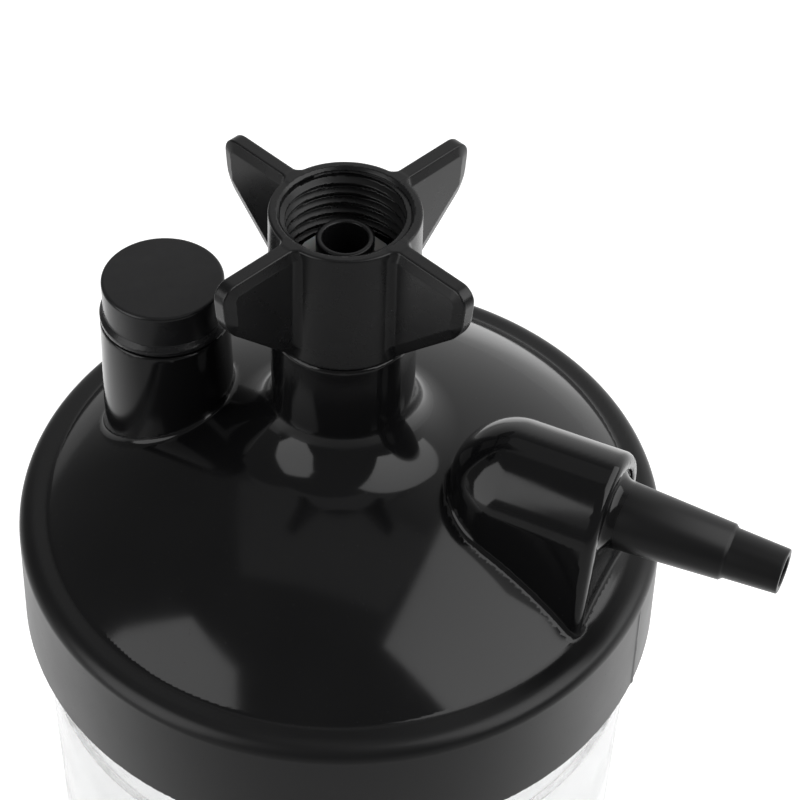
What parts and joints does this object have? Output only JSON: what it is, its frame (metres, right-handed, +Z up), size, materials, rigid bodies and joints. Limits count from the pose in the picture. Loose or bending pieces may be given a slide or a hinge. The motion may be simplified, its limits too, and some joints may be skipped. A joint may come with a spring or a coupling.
{
  "type": "bubble humidifier bottle",
  "caption": "Clear screw-neck bottle with a black domed lid, a winged inlet nut, a relief valve tower, a barbed outlet and a dip tube with a bubble diffuser.",
  "frame": {"origin": "middle of the bottle's base, on its foot plane", "axes": "+Z up along the bottle's axis; the barbed outlet leaves at 25.3 degrees from +X towards -Y, and the relief tower stands towards -X; -Y is the side with the level marks"},
  "size_m": [0.09, 0.0792, 0.1781],
  "materials": {
    "clear_bottle": "clear moulded plastic",
    "black_gloss": "glossy black moulded plastic",
    "black_satin": "satin black moulded plastic",
    "white_silicone": "white silicone rubber",
    "white_plastic": "white moulded plastic",
    "spring_steel": "stainless spring steel",
    "tube_plastic": "translucent extruded plastic",
    "porous_stone": "sintered porous bead stone"
  },
  "bodies": {
    "bottle": {"bottle": "clear_bottle"},
    "gasket": {"lid_gasket": "white_silicone"},
    "lid": {"lid": "black_gloss", "inlet_nipple": "black_gloss", "nipple_o_ring": "white_silicone", "nose_seal": "white_silicone", "relief_seat": "white_plastic", "relief_spring": "spring_steel", "relief_whistle": "spring_steel", "relief_cap": "black_satin", "dip_tube": "tube_plastic", "diffuser_holder": "white_plastic", "diffuser_stone": "porous_stone", "diffuser_retainer": "white_plastic"},
    "poppet": {"relief_poppet": "white_plastic", "relief_seal": "white_silicone"},
    "slip_washer": {"nut_slip_washer": "white_plastic"},
    "nut": {"wing_nut": "black_gloss"}
  },
  "joints": [
    {"name": "lid_rise", "type": "slide", "parent": "bottle", "child": "gasket", "axis": [0, 0, 1], "range_m": [0, 0.006]},
    {"name": "lid_turn", "type": "hinge", "parent": "gasket", "child": "lid", "pos_m": [0, 0, 0.132], "axis": [0, 0, 1], "range_deg": [0, 545]},
    {"name": "relief_lift", "type": "slide", "parent": "lid", "child": "poppet", "axis": [0, 0, 1], "range_m": [0, 0.002], "stiffness_N_per_m": 250, "springref_m": -0.0022, "deforming": ["relief_spring"]},
    {"name": "nut_float", "type": "slide", "parent": "lid", "child": "slip_washer", "axis": [0, 0, 1], "range_m": [0, 0.0022]},
    {"name": "nut_spin", "type": "hinge", "parent": "slip_washer", "child": "nut", "pos_m": [0, 0, 0.17], "axis": [0, 0, 1], "continuous": true}
  ],
  "couplings": [
    {"joint": "lid_turn", "follows": "lid_rise", "rad_per_m": 1570.8}
  ]
}
